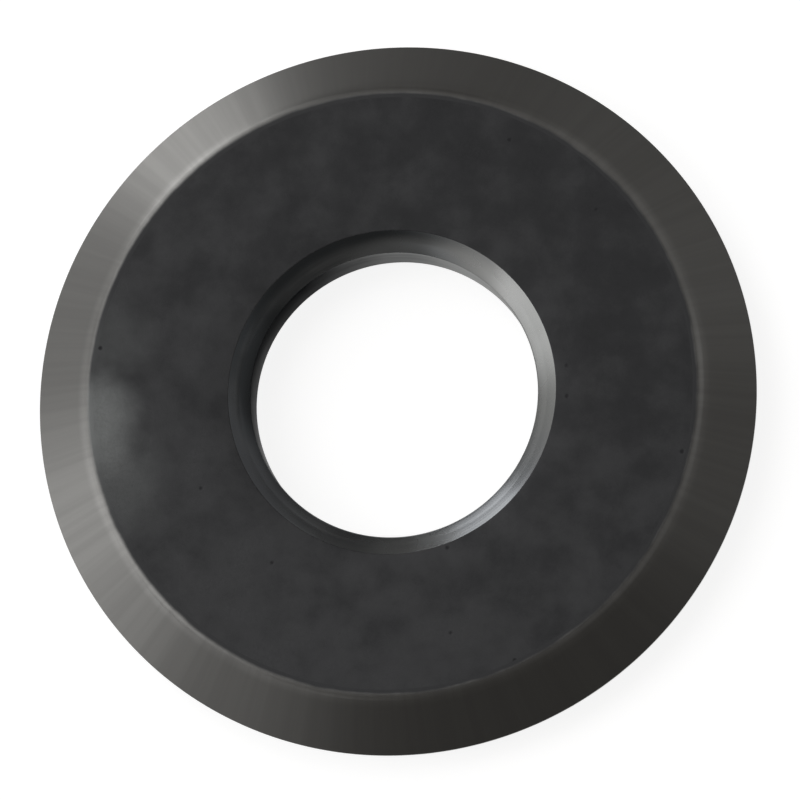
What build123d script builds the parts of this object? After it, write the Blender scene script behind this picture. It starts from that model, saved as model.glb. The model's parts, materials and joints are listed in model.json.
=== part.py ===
from build123d import *

import math
import os

# A hard-metal scoring wheel for a tile cutter: one pressed, sintered and ground disc with a plain bore.
# All sizes are in millimetres. The origin is the middle of the wheel, and +Z is the axle's line.

# Driving dimensions
outer_diameter = 15.0  # over the cutting edge
bore_diameter = 6.0  # runs on a 6 mm axle pin
thickness = 1.5  # from one flat face to the other
edge_angle = 68.0  # degrees between the two ground bevels
edge_land = 0.04  # width of the honed strip left along the cutting edge
blend_radius = 0.3  # polished corner between each flat face and its bevel
mouth_width = 0.42  # the bore's chamfer, measured across the face
mouth_depth = 0.3  # the bore's chamfer, measured along the axle

# Sizes that follow from them
rim_radius = outer_diameter / 2
bore_radius = bore_diameter / 2
half_thickness = thickness / 2
half_land = edge_land / 2
bevel_width = (half_thickness - half_land) / math.tan(math.radians(edge_angle / 2))
face_radius = rim_radius - bevel_width  # where a flat face and its bevel would meet in a sharp corner
mouth_radius = bore_radius + mouth_width
half_wall = half_thickness - mouth_depth  # half of the straight wall that the axle pin touches

with BuildPart() as cutter_wheel:
    # The section's upper half: bore wall, chamfer, flat face, bevel and honed edge
    with BuildSketch(Plane.XZ) as section:
        with BuildLine() as upper_half:
            Polyline(
                (bore_radius, 0),
                (bore_radius, half_wall),
                (mouth_radius, half_thickness),
                (face_radius, half_thickness),
                (rim_radius, half_land),
                (rim_radius, 0),
                close=True,
            )
        make_face()
        face_corner = section.vertices().group_by(Axis.Y)[-1].sort_by(Axis.X)[-1]
        fillet(face_corner, radius=blend_radius)
        # The wheel cuts with either face outwards, so its lower half is the same
        mirror(about=Plane.XZ)
    # The wheel is round about its axle
    revolve(axis=Axis.Z)

cutter_wheel.part.label = "cutter_wheel"

os.makedirs("parts", exist_ok=True)
export_step(cutter_wheel.part, "parts/cutter_wheel.step")
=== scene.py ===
"""Dresses the tile cutter wheel: a small carbide disc, ground to an edge, lying on one flat face.

Lengths are in metres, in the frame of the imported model. The origin is the middle of the bore, +Z is
the axle's line, and the table is half the wheel's thickness below the origin. The patterns and
marks on the surfaces are laid out in millimetres.
"""

import json
import logging
import math
from dataclasses import dataclass, field
from enum import Enum, IntEnum

import bmesh
import bpy
from mathutils import Matrix, Vector, noise


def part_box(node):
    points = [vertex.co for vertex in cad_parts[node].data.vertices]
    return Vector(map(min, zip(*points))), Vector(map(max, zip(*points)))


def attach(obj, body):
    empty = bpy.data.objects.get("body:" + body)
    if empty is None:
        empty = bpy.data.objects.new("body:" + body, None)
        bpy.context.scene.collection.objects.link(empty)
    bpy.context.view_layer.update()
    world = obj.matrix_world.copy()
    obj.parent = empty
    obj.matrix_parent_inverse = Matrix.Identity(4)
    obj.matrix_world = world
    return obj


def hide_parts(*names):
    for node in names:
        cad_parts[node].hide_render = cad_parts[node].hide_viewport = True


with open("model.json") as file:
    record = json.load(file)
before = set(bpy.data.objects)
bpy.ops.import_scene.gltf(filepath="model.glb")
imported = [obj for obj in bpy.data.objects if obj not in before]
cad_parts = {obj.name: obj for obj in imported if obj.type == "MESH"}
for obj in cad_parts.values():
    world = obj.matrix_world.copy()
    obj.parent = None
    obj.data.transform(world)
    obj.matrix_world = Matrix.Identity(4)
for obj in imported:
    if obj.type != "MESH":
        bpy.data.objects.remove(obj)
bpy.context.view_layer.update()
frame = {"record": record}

log = logging.getLogger("tile_cutter_wheel")

MM = 0.001  # one millimetre, in metres
PER_METRE_IN_MM = 1000.0  # turns Object coordinates into millimetres, the unit of every pattern
SEAM_GAP = 0.0001 * MM  # vertices closer than this are one vertex
ARC_PROFILE = 0.5  # the profile that makes the bevel operator draw an arc of a circle

Socket = bpy.types.NodeSocket
Span = tuple[float, float]
Place = tuple[float, float, float]
Colour = tuple[float, float, float]

IN_PLANE: Place = (1.0, 1.0, 0.0)  # keeps a place's X and Y, and drops its Z
WHITE: Colour = (1.0, 1.0, 1.0)
WHOLE: Span = (0.0, 1.0)  # from none to all
BULK: Span = (0.35, 0.65)  # most values of a cloudy pattern lie between these
WIDE_BULK: Span = (0.3, 0.7)  # nearly all of them lie between these
MIDDLE = 0.5  # about the mean of a cloudy pattern


class Zone(IntEnum):
    """The wheel's surfaces, numbered as its material slots are."""

    WALL = 0
    MOUTH = 1
    FACE = 2
    BEVEL = 3
    EDGE = 4


class Side(Enum):
    """Which half of the wheel a place is in."""

    FRONT = 1.0
    BACK = -1.0


@dataclass(frozen=True)
class Corner:
    """One corner of the wheel's section.

    Attributes:
        reach: distance from the axle's line.
        height: distance above the wheel's middle plane.
        turn: how far the outline turns at a corner that is rounded, in radians.
        rounding: radius of the arc that breaks the corner, or 0 where it stays sharp.
        steps: straight steps in that arc.
    """

    reach: float
    height: float
    turn: float = 0.0
    rounding: float = 0.0
    steps: int = 1

    def tangent_length(self) -> float:
        """Gives the distance from the corner to where its arc begins."""
        return self.rounding * math.tan(self.turn / 2)

    def at(self, side: Side) -> Vector:
        """Gives the corner's place in the XZ plane, on one side of the wheel."""
        return Vector((self.reach, 0.0, self.height * side.value))


@dataclass(frozen=True)
class WheelSection:
    """The section of the wheel through its axle, with the sizes of the solid model.

    Attributes:
        rim_radius: radius over the cutting edge.
        half_thickness: from the middle plane to a flat face.
        bore_radius: radius of the straight wall that the axle pin touches.
        half_wall: half the length of that wall.
        edge_angle: angle between the two ground bevels, in radians.
        half_land: half the width of the honed strip along the cutting edge.
        blend_radius: radius of the polished corner between a face and its bevel.
        blend_steps: straight steps in that corner.
        polish_run: how far the bevel's polish runs in over the flat face.
        mouth_width: the bore's chamfer, measured across the face.
        hollow: how far the middle of that chamfer lies below a straight one.
        hollow_radius: radius of its hollow middle.
        hollow_steps: straight steps in that middle.
        arris_radius: radius of the broken corners at the chamfer's two ends.
        arris_steps: straight steps in each of them.
        slope_row: longest step between two rows of faces on a slope.
        level_row: longest step between two rows on a flat face or on the bore's wall.
        slope_share: least rise and run that make a line a slope, as a share of its length.
    """

    rim_radius: float
    half_thickness: float
    bore_radius: float
    half_wall: float
    edge_angle: float = math.radians(68.0)
    half_land: float = 0.02 * MM
    blend_radius: float = 0.3 * MM
    blend_steps: int = 8
    polish_run: float = 0.07 * MM
    mouth_width: float = 0.42 * MM
    hollow: float = 0.012 * MM
    hollow_radius: float = 0.6 * MM
    hollow_steps: int = 2
    arris_radius: float = 0.05 * MM
    arris_steps: int = 3
    slope_row: float = 0.27 * MM
    level_row: float = 0.75 * MM
    slope_share: float = 0.1

    @property
    def bevel_slope(self) -> float:
        """Gives the bevel's tilt from the flat face, in radians."""
        return self.edge_angle / 2

    @property
    def face_radius(self) -> float:
        """Gives the radius at which a flat face and its bevel would meet in a sharp corner."""
        rise = self.half_thickness - self.half_land
        return self.rim_radius - rise / math.tan(self.bevel_slope)

    @property
    def blend_start(self) -> float:
        """Gives the radius at which the flat face turns into its polished corner."""
        return self.face_radius - self.blend_radius * math.tan(self.bevel_slope / 2)

    @property
    def mouth_radius(self) -> float:
        """Gives the radius of the bore's mouth, at the face."""
        return self.bore_radius + self.mouth_width

    @property
    def hollow_place(self) -> tuple[float, float]:
        """Gives the reach and height of the chamfer's middle, a little below a straight one."""
        reach = self.bore_radius + self.mouth_width / 2
        return reach, (self.half_wall + self.half_thickness) / 2 - self.hollow

    def corners(self) -> list[Corner]:
        """Lists the corners of the upper half, from the bore's wall out to the edge.

        Returns:
            The corners, each with the rounding that it gets.
        """
        quarter = math.pi / 2
        top = self.half_thickness
        reach, height = self.hollow_place
        inner = math.atan2(height - self.half_wall, reach - self.bore_radius)
        outer = math.atan2(top - height, self.mouth_radius - reach)
        arris = (self.arris_radius, self.arris_steps)
        return [
            Corner(self.bore_radius, self.half_wall, quarter - inner, *arris),
            Corner(reach, height, outer - inner, self.hollow_radius, self.hollow_steps),
            Corner(self.mouth_radius, top, outer, *arris),
            Corner(self.blend_start - self.polish_run, top),
            Corner(self.face_radius, top, self.bevel_slope, self.blend_radius, self.blend_steps),
            Corner(self.rim_radius, self.half_land),
        ]

    def draw(self, mesh: bmesh.types.BMesh) -> list[bmesh.types.BMEdge]:
        """Draws the closed section in the XZ plane, corners rounded and long lines divided.

        Args:
            mesh: the empty mesh to draw in.

        Returns:
            The outline's edges, with no face between them.
        """
        upper = self.corners()
        walk = [(corner, Side.FRONT) for corner in upper]
        walk += [(corner, Side.BACK) for corner in reversed(upper)]
        verts = [mesh.verts.new(corner.at(side)) for corner, side in walk]
        mesh.faces.new(verts)
        for vert, (corner, _) in zip(verts, walk, strict=True):
            if corner.rounding > 0:
                bmesh.ops.bevel(
                    mesh,
                    geom=[vert],
                    offset=corner.tangent_length(),
                    offset_type="OFFSET",
                    segments=corner.steps,
                    profile=ARC_PROFILE,
                    affect="VERTICES",
                    material=-1,
                )
        for edge in list(mesh.edges):
            cuts = math.ceil(edge.calc_length() / self.longest_row(edge)) - 1
            if cuts > 0:
                bmesh.ops.subdivide_edges(mesh, edges=[edge], cuts=cuts)
        bmesh.ops.delete(mesh, geom=list(mesh.faces), context="FACES_ONLY")
        return list(mesh.edges)

    def longest_row(self, edge: bmesh.types.BMEdge) -> float:
        """Gives the longest row of faces that a line of the section may have.

        Args:
            edge: the line.

        Returns:
            The longest row, which is shorter on a slope than on a flat face or the bore's wall.
        """
        start, end = (vert.co for vert in edge.verts)
        least = min(abs(start.x - end.x), abs(start.z - end.z))
        return self.slope_row if least > self.slope_share * edge.calc_length() else self.level_row

    def zone_of(self, reach: float, height: float) -> Zone:
        """Says which surface of the wheel a point of the section lies on.

        Args:
            reach: the point's distance from the axle's line.
            height: its distance from the middle plane, never negative.

        Returns:
            The surface's zone.
        """
        if height < self.half_wall and reach < self.mouth_radius:
            return Zone.WALL
        if reach < self.mouth_radius:
            return Zone.MOUTH
        if reach < self.blend_start - self.polish_run:
            return Zone.FACE
        if height > self.half_land:
            return Zone.BEVEL
        return Zone.EDGE

    def outward(self, zone: Zone, side: Side, angle: float) -> Vector:
        """Gives the direction that a surface faces at an angle round the wheel.

        Args:
            zone: the surface.
            side: the half of the wheel.
            angle: angle round +Z from +X, in radians.

        Returns:
            The unit normal.
        """
        tilt = {Zone.BEVEL: self.bevel_slope, Zone.EDGE: math.pi / 2}
        lean = tilt.get(zone, 0.0)
        across = Vector((math.cos(angle), math.sin(angle), 0.0)) * math.sin(lean)
        return across + Vector((0.0, 0.0, side.value * math.cos(lean)))


@dataclass(frozen=True)
class GrindingMarks:
    """The fine grooves that grinding leaves across the bevels, as shallow relief in the mesh.

    Attributes:
        coarse_depth: depth of the broad waves round the bevel.
        coarse_count: how finely those waves follow each other round the wheel.
        fine_depth: depth of the single grooves.
        fine_count: how finely the grooves follow each other.
        drift: how fast a wave changes along its length, in changes per metre.
        fine_drift: how much faster than the waves the grooves change along theirs.
        side_step: shift of the pattern that makes the two bevels differ.
    """

    coarse_depth: float = 0.001 * MM
    coarse_count: float = 17.0
    fine_depth: float = 0.00025 * MM
    fine_count: float = 75.0
    drift: float = 260.0
    fine_drift: float = 1.7
    side_step: float = 31.7

    def depth(self, angle: float, reach: float, side: Side) -> float:
        """Gives how far the ground surface lies below its highest marks.

        Args:
            angle: angle round the wheel, in radians.
            reach: distance from the axle's line.
            side: the half of the wheel.

        Returns:
            A depth, never negative.
        """
        round_wheel = Vector((math.cos(angle), math.sin(angle), 0.0))
        shift = Vector((0.0, 0.0, reach * self.drift + side.value * self.side_step))
        coarse = noise.noise(round_wheel * self.coarse_count + shift)
        fine = noise.noise(round_wheel * self.fine_count + shift * self.fine_drift)
        return self.coarse_depth * (1 + coarse) / 2 + self.fine_depth * (1 + fine) / 2


@dataclass
class NodeBench:
    """Lays out the shader nodes of one material.

    Attributes:
        material: the material that the nodes belong to.
    """

    material: bpy.types.Material

    def add(
        self, kind: str, inputs: dict[str | int, object] | None = None, **settings: object
    ) -> bpy.types.Node:
        """Adds a node and fills its sockets.

        Args:
            kind: the node's type, as Blender names it.
            inputs: a value, or another node's output, for each named or numbered input.
            settings: the node's own properties.

        Returns:
            The new node.
        """
        node = self.material.node_tree.nodes.new(kind)
        for name, value in settings.items():
            setattr(node, name, value)
        for key, value in (inputs or {}).items():
            self.feed(node.inputs[key], value)
        return node

    def feed(self, socket: Socket, value: object) -> None:
        """Links an output into a socket, or sets the socket's own value.

        Args:
            socket: the input to fill.
            value: another node's output, or the value to set.
        """
        if isinstance(value, Socket):
            self.material.node_tree.links.new(value, socket)
        else:
            socket.default_value = value

    def math(self, operation: str, *values: object) -> Socket:
        """Gives the result of one sum on numbers or sockets."""
        inputs = dict(enumerate(values))
        return self.add("ShaderNodeMath", inputs, operation=operation).outputs[0]

    def vector(self, operation: str, *values: object) -> Socket:
        """Gives the vector that one operation makes of others."""
        inputs = dict(enumerate(values))
        return self.add("ShaderNodeVectorMath", inputs, operation=operation).outputs["Vector"]

    def measure(self, operation: str, *values: object) -> Socket:
        """Gives the number that one operation makes of vectors."""
        inputs = dict(enumerate(values))
        return self.add("ShaderNodeVectorMath", inputs, operation=operation).outputs["Value"]

    def lengthen(self, vector: Socket, factor: float) -> Socket:
        """Gives a vector made a number of times as long."""
        inputs = {0: vector, "Scale": factor}
        return self.add("ShaderNodeVectorMath", inputs, operation="SCALE").outputs["Vector"]

    def millimetres(self) -> Socket:
        """Gives the place on the wheel, in millimetres."""
        place = self.add("ShaderNodeTexCoord").outputs["Object"]
        return self.lengthen(place, PER_METRE_IN_MM)

    def from_axle(self, place: Socket) -> Socket:
        """Gives a place's distance from the axle's line."""
        return self.measure("LENGTH", self.vector("MULTIPLY", place, IN_PLANE))

    def round_the_axle(self, fineness: float, drift: float) -> Socket:
        """Gives a place that runs round the wheel with no seam, for patterns that lie across it.

        Args:
            fineness: how many times the pattern changes for each radian round the wheel.
            drift: how many times it changes for each millimetre away from the axle's line.

        Returns:
            The vector for a texture.
        """
        place = self.millimetres()
        heading = self.vector("NORMALIZE", self.vector("MULTIPLY", place, IN_PLANE))
        circle = self.lengthen(heading, fineness)
        height = self.add("ShaderNodeSeparateXYZ", {0: place}).outputs["Z"]
        outward = self.math("MULTIPLY", self.from_axle(place), drift)
        level = self.math("MULTIPLY_ADD", height, drift, outward)
        along = self.add("ShaderNodeCombineXYZ", {"Z": level}).outputs[0]
        return self.vector("ADD", circle, along)

    def weigh(self, first: Socket, second: Socket, share: float) -> Socket:
        """Mixes two numbers: a share of the first, and the rest of the second."""
        return self.math("MULTIPLY_ADD", first, share, self.math("MULTIPLY", second, 1 - share))

    def spread(self, value: Socket, source: Span, target: Span = WHOLE) -> Socket:
        """Carries a number from one range to another, smoothly and held at the ends.

        Args:
            value: the number.
            source: the two values that become the target's ends.
            target: those ends, in the same order.

        Returns:
            The number's place in the target.
        """
        inputs = {"Value": value, "From Min": source[0], "From Max": source[1]}
        inputs |= {"To Min": target[0], "To Max": target[1]}
        return self.add("ShaderNodeMapRange", inputs, interpolation_type="SMOOTHSTEP").outputs[0]

    def blend_colours(self, share: Socket, first: object, second: object) -> Socket:
        """Mixes two colours by a share from 0, all the first, to 1, all the second."""
        inputs = {0: share, 6: opaque(first), 7: opaque(second)}
        return self.add("ShaderNodeMix", inputs, data_type="RGBA").outputs[2]

    def relief(self, height: Socket, depth: float, below: Socket | None = None) -> Socket:
        """Turns a height pattern into shading normals.

        Args:
            height: the pattern, from 0 to 1.
            depth: how deep the pattern is, in metres.
            below: another relief that this one lies on.

        Returns:
            The normal.
        """
        inputs = {"Strength": 1.0, "Distance": depth, "Height": height}
        if below is not None:
            inputs["Normal"] = below
        return self.add("ShaderNodeBump", inputs).outputs[0]

    def metal(
        self, colour: object, roughness: Socket, normal: Socket, glance: float = 1.0
    ) -> bpy.types.Material:
        """Makes the material bare metal.

        Args:
            colour: the metal's colour.
            roughness: its roughness.
            normal: its relief, as shading normals.
            glance: how much of the usual sheen it keeps where it is seen at a glancing angle.

        Returns:
            The finished material.
        """
        inputs = {"Base Color": colour, "Metallic": 1.0, "Roughness": roughness, "Normal": normal}
        inputs["Specular Tint"] = opaque((glance,) * 3)
        shader = self.add("ShaderNodeBsdfPrincipled", inputs)
        self.add("ShaderNodeOutputMaterial", {"Surface": shader.outputs[0]})
        return self.material


def opaque(colour: object) -> object:
    """Adds full opacity to a plain colour, and leaves a socket as it is."""
    return (*colour, 1.0) if isinstance(colour, tuple) else colour


def new_bench(name: str) -> NodeBench:
    """Makes an empty material, and a bench for its nodes.

    Args:
        name: the material's name.

    Returns:
        The bench.
    """
    material = bpy.data.materials.new(name)
    material.use_nodes = True
    material.node_tree.nodes.clear()
    return NodeBench(material)


@dataclass(frozen=True)
class Clouds:
    """A soft cloudy pattern, with values from about 0 to 1.

    Attributes:
        fineness: how many times it changes for each millimetre.
        detail: how many finer layers lie over the coarsest.
        roughness: how strong each layer is beside the one before.
    """

    fineness: float
    detail: float
    roughness: float = 0.5

    def at(self, bench: NodeBench, place: Socket) -> Socket:
        """Gives the pattern's value at a place.

        Args:
            bench: the bench to lay nodes on.
            place: the vector that the pattern is read at.

        Returns:
            The value.
        """
        inputs = {"Vector": place, "Scale": self.fineness}
        inputs |= {"Detail": self.detail, "Roughness": self.roughness}
        return bench.add("ShaderNodeTexNoise", inputs).outputs[0]


@dataclass(frozen=True)
class RoundClouds:
    """A cloudy pattern drawn out into streaks across the wheel, or into rings round it.

    Attributes:
        fineness: how many times it changes for each radian round the wheel.
        drift: how many times it changes for each millimetre away from the axle's line.
        layers: its finer layers.
    """

    fineness: float
    drift: float
    layers: Clouds

    def over(self, bench: NodeBench) -> Socket:
        """Gives the pattern over the whole wheel."""
        return self.layers.at(bench, bench.round_the_axle(self.fineness, self.drift))


# Layers of the patterns round the wheel, whose fineness and drift say how finely they change
PLAIN_LAYERS = Clouds(1.0, 2.0)
SMOOTH_LAYERS = Clouds(1.0, 1.0)
FINE_LAYERS = Clouds(1.0, 3.0)
CRISP_LAYERS = Clouds(1.0, 3.0, 0.6)


@dataclass(frozen=True)
class SoftMark:
    """An oval mark that fades out softly, with an outline that wanders a little.

    Attributes:
        centre: its middle, in millimetres.
        reach: how far it goes before it has faded out, along X, Y and Z, in millimetres.
        core: the share of that distance within which it is full.
        strength: how much of it shows in its middle.
        wander: how far its outline wanders, as a share of its size.
        outline: the pattern that its outline follows.
    """

    centre: Place
    reach: Place
    core: float
    strength: float = 1.0
    wander: float = 0.08
    outline: Clouds = Clouds(1.6, 2.0)

    def share(self, bench: NodeBench, place: Socket) -> Socket:
        """Gives how much of the mark a place has, from 0 to its strength.

        Args:
            bench: the bench to lay nodes on.
            place: the place on the wheel, in millimetres.

        Returns:
            The share.
        """
        away = bench.vector("SUBTRACT", place, self.centre)
        distance = bench.measure("LENGTH", bench.vector("DIVIDE", away, self.reach))
        drift = bench.math("SUBTRACT", self.outline.at(bench, place), MIDDLE)
        distance = bench.math("MULTIPLY_ADD", drift, 2 * self.wander, distance)
        return bench.spread(distance, (self.core, 1.0), (self.strength, 0.0))


@dataclass(frozen=True)
class Tint:
    """A soft mark of another colour.

    Attributes:
        mark: its place and outline.
        colour: its colour.
    """

    mark: SoftMark
    colour: Colour


def tinted(bench: NodeBench, place: Socket, colour: object, tints: tuple[Tint, ...]) -> object:
    """Lays tints over a colour, one over the other.

    Args:
        bench: the bench to lay nodes on.
        place: the place on the wheel, in millimetres.
        colour: the colour below them.
        tints: the tints, from the lowest to the highest.

    Returns:
        The mixed colour.
    """
    for tint in tints:
        colour = bench.blend_colours(tint.mark.share(bench, place), colour, tint.colour)
    return colour


# Painted sheen: lighter patches on the front face near its edge, in place of a lamp's blurred
# reflection there.
FACE_PAINTED_SHEEN = (
    Tint(SoftMark((-5.80, 1.15, 0.75), (1.1, 1.2, 0.6), 0.1, 0.3, 0.25), (0.118, 0.122, 0.122)),
    Tint(SoftMark((-5.60, -1.85, 0.75), (1.2, 1.6, 0.6), 0.1, 0.5, 0.25), (0.118, 0.122, 0.122)),
    Tint(SoftMark((-6.16, -0.58, 0.75), (1.1, 1.55, 0.6), 0.2, 1.0, 0.25), (0.150, 0.155, 0.155)),
)


@dataclass(frozen=True)
class SinteredFace:
    """The flat faces: dark carbide as it leaves the furnace, faintly mottled and pitted.

    Attributes:
        name: the material's name.
        dark: colour of the darker clouds.
        light: colour of the lighter clouds.
        clouds: the clouds' pattern.
        drift: painted light, how much lighter the face is painted along X and Y, for each millimetre,
            in place of the uneven light across it.
        contrast: the values of the pattern that are fully dark and fully light.
        grain: the sintered grain's pattern.
        grain_share: how much of the grain shows in the colour.
        grain_depth: depth of the grain, in metres.
        roughness: the smoothest and roughest of the surface.
        painted_sheen: painted sheen, soft lighter patches near the edge of the front face in place of
            a lamp's blurred reflection there.
        pit: colour painted at the bottom of a pit, darker as painted shade in the hollow.
        pit_fineness: how closely the pits may lie, for each millimetre.
        pit_size: radius of a pit's floor and of its rim, as shares of their spacing.
        pit_depth: depth of a pit, in metres.
    """

    name: str = "sintered_face"
    dark: Colour = (0.0358, 0.0362, 0.0379)
    light: Colour = (0.0540, 0.0545, 0.0566)
    clouds: Clouds = Clouds(1.1, 4.0, 0.6)
    drift: tuple[float, float] = (-0.012, -0.016)
    contrast: Span = (0.33, 0.67)
    grain: Clouds = Clouds(22.0, 3.0)
    grain_share: float = 0.25
    grain_depth: float = 0.0012 * MM
    roughness: Span = (0.44, 0.54)
    painted_sheen: tuple[Tint, ...] = FACE_PAINTED_SHEEN
    pit: Colour = (0.027, 0.027, 0.0285)
    pit_fineness: float = 1.1
    pit_size: Span = (0.02, 0.07)
    pit_depth: float = 0.003 * MM

    def pitted(self, bench: NodeBench, place: Socket) -> Socket:
        """Gives how deep in a pit a place is.

        Args:
            bench: the bench to lay nodes on.
            place: the place on the wheel, in millimetres.

        Returns:
            The depth, from 0 outside the pits to 1 on the floor of one.
        """
        inputs = {"Vector": place, "Scale": self.pit_fineness, "Randomness": 1.0}
        pits = bench.add("ShaderNodeTexVoronoi", inputs, feature="F1").outputs["Distance"]
        return bench.spread(pits, self.pit_size, (1.0, 0.0))

    def material(self) -> bpy.types.Material:
        """Makes the finish from its clouds, grain, painted sheen and pits.

        Returns:
            The finished material.
        """
        bench = new_bench(self.name)
        place = bench.millimetres()
        grain = self.grain.at(bench, place)
        # Painted light: the face is painted lighter towards -X and -Y.
        drift = bench.measure("DOT_PRODUCT", place, (*self.drift, 0.0))
        clouds = bench.math("ADD", self.clouds.at(bench, place), drift)
        mottle = bench.spread(bench.weigh(grain, clouds, self.grain_share), self.contrast)
        mottled = bench.blend_colours(mottle, self.dark, self.light)
        inside = self.pitted(bench, place)
        # Painted shade: the bottom of each pit is painted darker.
        # Painted sheen lightens the face near its edge.
        colour = bench.blend_colours(inside, tinted(bench, place, mottled, self.painted_sheen), self.pit)
        grainy = bench.relief(grain, self.grain_depth)
        normal = bench.relief(bench.math("SUBTRACT", 1.0, inside), self.pit_depth, grainy)
        return bench.metal(colour, bench.spread(grain, WIDE_BULK, self.roughness), normal)


@dataclass(frozen=True)
class GroundMetal:
    """A ground surface of bare carbide, with soft streaks that lie across it.

    Attributes:
        name: the material's name.
        dark: colour of the darker streaks.
        light: colour of the lighter streaks.
        roughness: the smoothest and roughest of the streaks.
        streak_depth: depth of the finest grooves, in metres.
        broad: the broad streaks' pattern.
        narrow: the narrow streaks' pattern.
        narrow_share: how much of the narrow ones the mixed streaks have.
    """

    name: str
    dark: Colour
    light: Colour
    roughness: Span
    streak_depth: float = 0.0002 * MM
    broad: RoundClouds = RoundClouds(24.0, 0.35, PLAIN_LAYERS)
    narrow: RoundClouds = RoundClouds(60.0, 0.8, CRISP_LAYERS)
    narrow_share: float = 0.38

    def streaks(self, bench: NodeBench) -> tuple[Socket, Socket]:
        """Lays the broad and the narrow streaks.

        Args:
            bench: the bench to lay nodes on.

        Returns:
            The mixed streaks, and the relief of the narrow ones alone.
        """
        narrow = self.narrow.over(bench)
        mixed = bench.weigh(narrow, self.broad.over(bench), self.narrow_share)
        return mixed, bench.relief(narrow, self.streak_depth)

    def ground(self, bench: NodeBench, streaks: Socket) -> tuple[Socket, Socket]:
        """Gives the ground surface's colour and its roughness: the light streaks are smoother.

        Args:
            bench: the bench to lay nodes on.
            streaks: the mixed streaks.

        Returns:
            The colour and the roughness.
        """
        low, high = self.roughness
        colour = bench.blend_colours(bench.spread(streaks, BULK), self.dark, self.light)
        return colour, bench.spread(streaks, BULK, (high, low))

    def material(self) -> bpy.types.Material:
        """Makes the finish from its streaks.

        Returns:
            The finished material.
        """
        bench = new_bench(self.name)
        streaks, normal = self.streaks(bench)
        return bench.metal(*self.ground(bench, streaks), normal)


@dataclass(frozen=True)
class GroundBevel(GroundMetal):
    """The bevel with its corner: dark like the face, then brightly polished, then evenly ground.

    Attributes:
        face: colour where the flat face ends.
        face_roughness: roughness there.
        painted_sheen: the face's own painted sheen, which reaches the start of the polish.
        polished: darker and lighter colour of the polish.
        polished_roughness: the polish's roughness.
        painted_polish_shade: painted shade, a darker stretch of the polish on one side of the wheel.
        polish_in: the reaches between which the polish begins, in millimetres.
        polish_out: the reaches between which it gives way to the ground bevel, in millimetres.
        waves: the pattern that the start of the polish follows.
        ragged: how far that start wanders in or out, in millimetres.
        patches: the pattern of thinly polished stretches.
        patch_edge: the values of that pattern that are thinly and fully polished.
        patchy: the share of the polish that a thin stretch keeps.
    """

    face: Colour = (0.0447, 0.0452, 0.0470)
    face_roughness: float = 0.47
    painted_sheen: tuple[Tint, ...] = FACE_PAINTED_SHEEN
    polished: tuple[Colour, Colour] = ((0.160, 0.158, 0.1535), (0.180, 0.178, 0.173))
    polished_roughness: float = 0.31
    # Painted shade: the polish is painted darker on the side towards +Y.
    painted_polish_shade: tuple[Tint, ...] = (
        Tint(SoftMark((-1.98, 6.09, 0.7), (2.4, 2.4, 2.4), 0.1), (0.122, 0.1205, 0.117)),
    )
    polish_in: Span = (6.31, 6.40)
    polish_out: Span = (6.47, 6.62)
    waves: RoundClouds = RoundClouds(12.0, 0.2, FINE_LAYERS)
    ragged: float = 0.03
    patches: RoundClouds = RoundClouds(5.0, 0.2, PLAIN_LAYERS)
    patch_edge: Span = (0.35, 0.6)
    patchy: float = 0.6

    def polish(self, bench: NodeBench, reach: Socket) -> Socket:
        """Gives how much of the polish a place has, from where it is full to the ground bevel."""
        kept = bench.spread(self.patches.over(bench), self.patch_edge, (self.patchy, 1.0))
        return bench.math("MULTIPLY", bench.spread(reach, self.polish_out, (1.0, 0.0)), kept)

    def begun(self, bench: NodeBench, reach: Socket) -> Socket:
        """Gives how far the bevel's finish has taken over from the face's.

        Args:
            bench: the bench to lay nodes on.
            reach: distance from the axle's line, in millimetres.

        Returns:
            The share that it has taken, from 0 to 1.
        """
        inward = bench.math("SUBTRACT", reach, self.ragged)
        wander = bench.math("MULTIPLY_ADD", self.waves.over(bench), 2 * self.ragged, inward)
        return bench.spread(wander, self.polish_in)

    def material(self) -> bpy.types.Material:
        """Makes the finish, from the end of the flat face out to the cutting edge.

        Returns:
            The finished material.
        """
        bench = new_bench(self.name)
        place = bench.millimetres()
        reach = bench.from_axle(place)
        streaks, normal = self.streaks(bench)
        ground, ground_roughness = self.ground(bench, streaks)
        polish, begun = self.polish(bench, reach), self.begun(bench, reach)
        bright = bench.blend_colours(bench.spread(streaks, BULK), *self.polished)
        # Painted shade darkens the polish on that side.
        worked = bench.blend_colours(polish, ground, tinted(bench, place, bright, self.painted_polish_shade))
        # The face's painted sheen runs on up to the start of the polish.
        face = tinted(bench, place, self.face, self.painted_sheen)
        middle = sum(self.roughness) / 2
        smoother = bench.math("MULTIPLY", polish, middle - self.polished_roughness)
        rougher = bench.spread(begun, WHOLE, (self.face_roughness - middle, 0.0))
        roughness = bench.math("ADD", bench.math("SUBTRACT", ground_roughness, smoother), rougher)
        return bench.metal(bench.blend_colours(begun, face, worked), roughness, normal)


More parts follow.
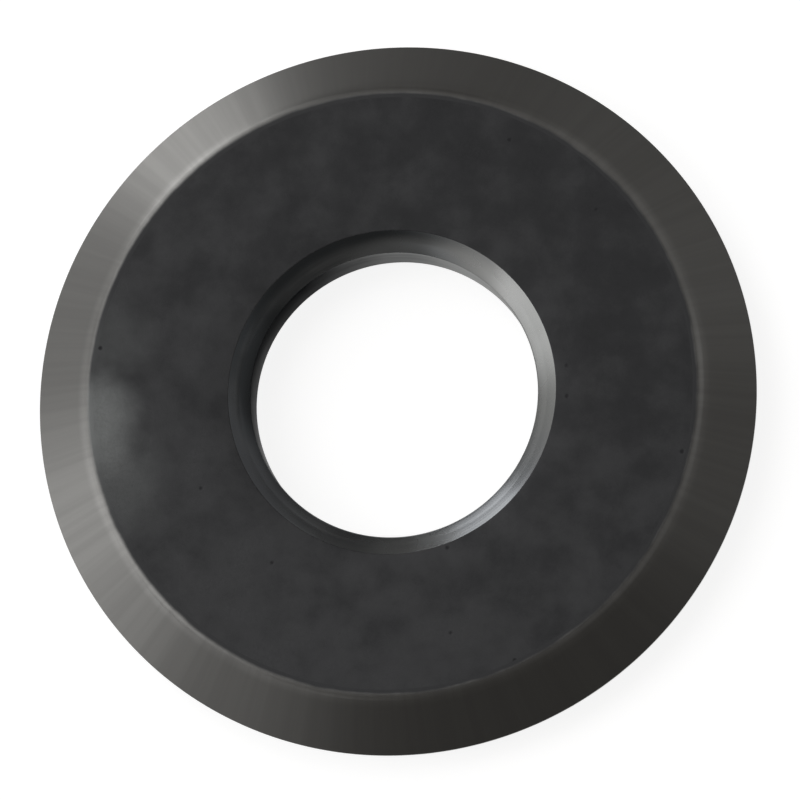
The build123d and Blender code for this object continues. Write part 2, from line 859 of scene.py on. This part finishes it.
@dataclass(frozen=True)
class BoreMetal:
    """The bore's wall or chamfers: bare metal marked round the axle, with painted highlights and
    painted shade on some of its sides.

    Attributes:
        name: the material's name.
        dark: colour of the darker marks.
        light: colour of the lighter marks.
        roughness: the smoothest and roughest of the surface.
        mark_depth: depth of the marks, in metres.
        glance: how much of the usual sheen it keeps where it is seen at a glancing angle.
        tints: painted highlights and painted shade, brighter and darker stretches of it laid over
            each other in this order.
        patches: the pattern of its patches of wear.
        rings: the pattern of its marks.
        ring_share: how much of the marks shows in the colour, beside the patches.
    """

    name: str
    dark: Colour
    light: Colour
    roughness: Span
    mark_depth: float
    glance: float = 1.0
    tints: tuple[Tint, ...] = ()
    patches: RoundClouds = RoundClouds(3.0, 1.0, PLAIN_LAYERS)
    rings: RoundClouds = RoundClouds(1.5, 14.0, SMOOTH_LAYERS)
    ring_share: float = 0.45

    def material(self) -> bpy.types.Material:
        """Makes the finish from its patches, marks and tints.

        Returns:
            The finished material.
        """
        bench = new_bench(self.name)
        patches, rings = self.patches.over(bench), self.rings.over(bench)
        share = bench.spread(bench.weigh(rings, patches, self.ring_share), BULK)
        marked = bench.blend_colours(share, self.dark, self.light)
        # Painted highlights and painted shade go over the marked colour.
        colour = tinted(bench, bench.millimetres(), marked, self.tints)
        roughness = bench.spread(patches, WIDE_BULK, self.roughness)
        return bench.metal(colour, roughness, bench.relief(rings, self.mark_depth), self.glance)


BORE_WALL = BoreMetal(
    name="bore_wall",
    dark=(0.200, 0.203, 0.203),
    light=(0.270, 0.273, 0.270),
    roughness=(0.34, 0.42),
    mark_depth=0.0006 * MM,
    glance=0.4,
    # Painted highlight on the wall towards +X+Y, and painted shade over its side towards -X.
    tints=(
        Tint(SoftMark((1.93, 2.30, 0.0), (1.9, 1.9, 1.9), 0.2), (0.420, 0.425, 0.420)),
        Tint(SoftMark((-2.82, 1.03, 0.0), (4.2, 4.2, 4.2), 0.36), (0.016, 0.0165, 0.017)),
    ),
)

BORE_MOUTH = BoreMetal(
    name="bore_mouth",
    dark=(0.128, 0.134, 0.142),
    light=(0.170, 0.177, 0.184),
    roughness=(0.24, 0.29),
    mark_depth=0.0004 * MM,
    # Painted light: the chamfers are painted brighter towards +X, +Y and -Y as painted highlights,
    # and darker towards -X as painted shade.
    tints=(
        Tint(SoftMark((2.77, 1.60, 0.6), (3.9, 3.9, 3.9), 0.49), (0.190, 0.193, 0.190)),
        Tint(SoftMark((1.97, 2.52, 0.6), (1.7, 1.7, 1.7), 0.1), (0.330, 0.333, 0.330)),
        Tint(SoftMark((0.50, -3.16, 0.6), (1.3, 1.3, 1.3), 0.2), (0.266, 0.275, 0.282)),
        Tint(SoftMark((-2.78, -1.60, 0.6), (2.0, 2.0, 2.0), 0.2), (0.110, 0.115, 0.123)),
        Tint(
            SoftMark((-2.07, 2.65, 0.75), (5.0, 5.0, 0.22), 0.3, wander=0.12),
            (0.075, 0.082, 0.089),
        ),
        Tint(SoftMark((0.16, 3.10, 0.45), (1.7, 1.7, 0.26), 0.3), (0.265, 0.276, 0.287)),
        Tint(
            SoftMark((-3.03, 0.53, 0.47), (2.4, 2.4, 0.22), 0.45, wander=0.12),
            (0.063, 0.068, 0.073),
        ),
    ),
)

FINISHES = {
    Zone.WALL: BORE_WALL,
    Zone.MOUTH: BORE_MOUTH,
    Zone.FACE: SinteredFace(),
    Zone.BEVEL: GroundBevel(
        "ground_bevel", (0.1345, 0.133, 0.129), (0.147, 0.1455, 0.141), (0.31, 0.33)
    ),
    Zone.EDGE: GroundMetal("honed_edge", (0.19, 0.19, 0.185), (0.25, 0.25, 0.245), (0.22, 0.28)),
}


@dataclass
class CutterWheel:
    """The wheel itself: one turned and ground body with five kinds of surface.

    Attributes:
        section: the wheel's section and sizes.
        marks: the grinding relief on the bevels.
        sectors: how many equal sectors the wheel is turned in.
        sector_steps: how many steps the section takes in each.
    """

    section: WheelSection
    marks: GrindingMarks = field(default_factory=GrindingMarks)
    sectors: int = 40
    sector_steps: int = 40

    def build(self) -> bpy.types.Object:
        """Turns the section round the axle, adds the grinding relief and dresses each surface.

        Returns:
            The finished piece.
        """
        mesh = bmesh.new()
        self.turn(mesh, self.section.draw(mesh))
        self.sort_faces(mesh)
        self.grind(mesh)
        data = bpy.data.meshes.new("wheel_body")
        mesh.to_mesh(data)
        mesh.free()
        piece = bpy.data.objects.new("wheel_body", data)
        bpy.context.scene.collection.objects.link(piece)
        for zone in Zone:
            data.materials.append(FINISHES[zone].material())
        even = piece.modifiers.new("flat_faces_lead", "WEIGHTED_NORMAL")
        even.mode = "FACE_AREA"
        even.keep_sharp = True
        return piece

    def turn(self, mesh: bmesh.types.BMesh, outline: list[bmesh.types.BMEdge]) -> None:
        """Turns the section round the axle: one sector first, then the others as its copies.

        Args:
            mesh: the mesh that holds the section.
            outline: the section's edges.
        """
        sector = math.tau / self.sectors
        copies = self.sectors - 1
        axle = {"cent": (0.0, 0.0, 0.0), "axis": (0.0, 0.0, 1.0)}
        section = outline + list(mesh.verts)
        bmesh.ops.spin(mesh, geom=section, angle=sector, steps=self.sector_steps, **axle)
        whole = list(mesh.faces) + list(mesh.edges) + list(mesh.verts)
        bmesh.ops.spin(
            mesh, geom=whole, angle=sector * copies, steps=copies, use_duplicate=True, **axle
        )
        bmesh.ops.remove_doubles(mesh, verts=list(mesh.verts), dist=SEAM_GAP)
        bmesh.ops.recalc_face_normals(mesh, faces=list(mesh.faces))

    def sort_faces(self, mesh: bmesh.types.BMesh) -> None:
        """Gives each face the slot of its surface, and keeps the cutting edge sharp.

        Args:
            mesh: the turned wheel.
        """
        for face in mesh.faces:
            centre = face.calc_center_median()
            reach = math.hypot(centre.x, centre.y)
            face.material_index = int(self.section.zone_of(reach, abs(centre.z)))
            face.smooth = True
        for edge in mesh.edges:
            sides = {face.material_index for face in edge.link_faces}
            edge.smooth = sides != {int(Zone.BEVEL), int(Zone.EDGE)}

    def grind(self, mesh: bmesh.types.BMesh) -> None:
        """Sinks the ground surfaces by their marks, which stay inside the solid's own size.

        Args:
            mesh: the turned wheel.
        """
        start = self.section.blend_start
        full = self.section.face_radius + self.section.blend_radius
        for vert in mesh.verts:
            reach = math.hypot(vert.co.x, vert.co.y)
            if reach <= start:
                continue
            side = Side.FRONT if vert.co.z > 0 else Side.BACK
            angle = math.atan2(vert.co.y, vert.co.x)
            zone = self.section.zone_of(reach, abs(vert.co.z))
            facing = self.section.outward(zone, side, angle)
            share = min(1.0, (reach - start) / (full - start))
            vert.co -= facing * self.marks.depth(angle, reach, side) * share


@dataclass(frozen=True)
class Softbox:
    """A soft studio lamp that faces the wheel.

    Attributes:
        name: the lamp's name.
        azimuth: where it stands, from +X round +Z, in degrees.
        elevation: its height above the table, in degrees.
        width: its width, in metres.
        height: its height, in metres.
        glow: its brightness as the wheel sees it, where 1 is white.
        distance: how far away it stands, in metres.
    """

    name: str
    azimuth: float
    elevation: float
    width: float
    height: float
    glow: float
    distance: float = 1.0

    def place(self) -> bpy.types.Object:
        """Puts the lamp in the scene, facing the wheel.

        Returns:
            The lamp.
        """
        lamp = bpy.data.lights.new(self.name, "AREA")
        lamp.shape = "RECTANGLE"
        lamp.size, lamp.size_y = self.width, self.height
        lamp.energy = math.pi * self.width * self.height * self.glow
        stand = bpy.data.objects.new(self.name, lamp)
        turn, rise = math.radians(self.azimuth), math.radians(self.elevation)
        flat = math.cos(rise)
        towards = Vector((math.cos(turn) * flat, math.sin(turn) * flat, math.sin(rise)))
        stand.location = towards * self.distance
        stand.rotation_mode = "QUATERNION"
        stand.rotation_quaternion = towards.to_track_quat("Z", "Y")
        stand.visible_camera = False
        bpy.context.scene.collection.objects.link(stand)
        return stand


@dataclass(frozen=True)
class PhotoCamera:
    """The camera, seen as in the photograph: almost straight down on the front face.

    Attributes:
        rim_radius: the wheel's real radius.
        tilt: angle between the line of sight and the axle's line, in degrees.
        lean: where in the picture the front face leans back, clockwise from right, in degrees.
        rim_pixels: the rim's radius in the picture, across the tilt.
        centre: the wheel's middle in the picture, in pixels from the top left.
        frame_pixels: the picture's width and height.
        distance: from the camera to the wheel.
        sensor_width: the camera's sensor, in millimetres.
        nearest: the least distance that it sees.
        farthest: the greatest distance that it sees.
    """

    rim_radius: float
    tilt: float = 14.5
    lean: float = 236.0
    rim_pixels: float = 362.0
    centre: tuple[float, float] = (396.8, 399.2)
    frame_pixels: int = 800
    distance: float = 0.225
    sensor_width: float = 36.0
    nearest: float = 0.01
    farthest: float = 20.0

    def place(self) -> bpy.types.Object:
        """Puts the camera in the scene and makes it the one in use.

        Returns:
            The camera.
        """
        data = bpy.data.cameras.new("photo_camera")
        data.sensor_width = self.sensor_width
        rim_on_sensor = self.rim_pixels / self.frame_pixels * self.sensor_width
        data.lens = rim_on_sensor * self.distance / self.rim_radius
        data.clip_start, data.clip_end = self.nearest, self.farthest
        camera = bpy.data.objects.new("photo_camera", data)
        tilt, lean = math.radians(self.tilt), math.radians(self.lean)
        aslant = math.sin(tilt)
        back = Vector((-math.cos(lean) * aslant, math.sin(lean) * aslant, math.cos(tilt)))
        turn = Vector((0.0, 0.0, 1.0)).rotation_difference(back)
        metres_per_pixel = self.rim_radius / self.rim_pixels
        aside = (self.frame_pixels / 2 - self.centre[0]) * metres_per_pixel
        above = (self.centre[1] - self.frame_pixels / 2) * metres_per_pixel
        camera.rotation_mode = "QUATERNION"
        camera.rotation_quaternion = turn
        camera.location = back * self.distance + turn @ Vector((aside, above, 0.0))
        bpy.context.scene.collection.objects.link(camera)
        bpy.context.scene.camera = camera
        return camera


@dataclass
class Studio:
    """A plain pale table under soft lamps.

    Attributes:
        rest_height: the level of the wheel's lower face.
        table_gap: how far the table's paper lies below that face.
        table_size: the table's width and depth.
        table_paint: the share of the lamps' light that the table sends back.
        table_glow: how bright the table looks without them, to the camera and in reflections.
        room_glow: brightness of the room all round.
        room_tint: its colour.
        lamps: the soft lamps.
    """

    rest_height: float
    table_gap: float = 0.01 * MM
    table_size: float = 3.0
    table_paint: float = 0.35
    table_glow: float = 0.84
    room_glow: float = 0.147
    room_tint: Colour = (1.0, 0.965, 0.91)
    lamps: tuple[Softbox, ...] = (
        Softbox("left_screen", 210.0, 32.0, 1.10, 0.98, 0.43),
        Softbox("left_key", 191.5, 17.0, 0.69, 0.61, 0.97),
        Softbox("left_back_key", 161.5, 18.0, 1.20, 0.67, 0.72),
        Softbox("back_key", 127.0, 21.0, 0.34, 0.74, 2.87),
        Softbox("back_strip", 133.5, 62.5, 0.34, 0.71, 1.72),
        Softbox("overhead", 184.0, 52.5, 0.44, 0.62, 1.41),
        Softbox("left_high_fill", 174.0, 44.0, 0.41, 0.30, 0.40),
        Softbox("right_fill", 2.0, 52.0, 0.72, 0.92, 0.21),
        Softbox("right_back_fill", 51.0, 41.0, 0.96, 0.92, 0.28),
    )

    def build(self) -> None:
        """Lays the table, lights the room and places the lamps."""
        self.lay_table()
        world = bpy.data.worlds.new("room")
        world.use_nodes = True
        background = world.node_tree.nodes["Background"]
        background.inputs["Color"].default_value = opaque(self.room_tint)
        background.inputs["Strength"].default_value = self.room_glow
        bpy.context.scene.world = world
        for lamp in self.lamps:
            lamp.place()

    def lay_table(self) -> None:
        """Lays the table: white paper that keeps the wheel's soft shadow."""
        mesh = bmesh.new()
        level = Matrix.Translation((0.0, 0.0, self.rest_height - self.table_gap))
        half = self.table_size / 2
        bmesh.ops.create_grid(mesh, x_segments=1, y_segments=1, size=half, matrix=level)
        data = bpy.data.meshes.new("table")
        mesh.to_mesh(data)
        mesh.free()
        table = bpy.data.objects.new("table", data)
        bpy.context.scene.collection.objects.link(table)
        data.materials.append(self.paper())

    def paper(self) -> bpy.types.Material:
        """Makes the table's paper, which glows where it is seen, and is clear from behind.

        Returns:
            The finished material.
        """
        bench = new_bench("table_paper")
        path = bench.add("ShaderNodeLightPath").outputs
        seen = bench.math("MAXIMUM", path["Is Camera Ray"], path["Is Glossy Ray"])
        seen = bench.math("MAXIMUM", seen, path["Is Transmission Ray"])
        strength = bench.math("MULTIPLY", seen, self.table_glow)
        matt = bench.add("ShaderNodeBsdfDiffuse", {"Color": opaque((self.table_paint,) * 3)})
        glow = bench.add("ShaderNodeEmission", {"Color": opaque(WHITE), "Strength": strength})
        front = bench.add("ShaderNodeAddShader", {0: matt.outputs[0], 1: glow.outputs[0]})
        back = bench.add("ShaderNodeBsdfTransparent")
        behind = bench.add("ShaderNodeNewGeometry").outputs["Backfacing"]
        sides = {0: behind, 1: front.outputs[0], 2: back.outputs[0]}
        both = bench.add("ShaderNodeMixShader", sides)
        bench.add("ShaderNodeOutputMaterial", {"Surface": both.outputs[0]})
        return bench.material


def section_from_frame() -> WheelSection:
    """Reads the wheel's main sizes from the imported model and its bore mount.

    Returns:
        The section, whose other sizes keep the values given above.
    """
    low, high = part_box("cutter_wheel")
    bore = next(mount for mount in frame["record"]["mounts"] if mount["name"] == "bore")
    return WheelSection(
        rim_radius=(high.x - low.x) / 2,
        half_thickness=(high.z - low.z) / 2,
        bore_radius=bore["dims"]["r_mm"] * MM,
        half_wall=bore["dims"]["length_mm"] * MM / 2,
    )


def main() -> None:
    """Builds the wheel, then the table, the lamps and the camera."""
    logging.basicConfig(level=logging.INFO, format="%(name)s: %(message)s")
    bpy.context.scene.view_settings.view_transform = "Standard"
    section = section_from_frame()
    wheel = CutterWheel(section).build()
    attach(wheel, "root")
    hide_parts("cutter_wheel")
    faces, finishes = len(wheel.data.polygons), len(wheel.data.materials)
    log.info("%s: %d faces, %d finishes", wheel.name, faces, finishes)
    Studio(rest_height=-section.half_thickness).build()
    PhotoCamera(rim_radius=section.rim_radius).place()


if __name__ == "__main__":
    main()
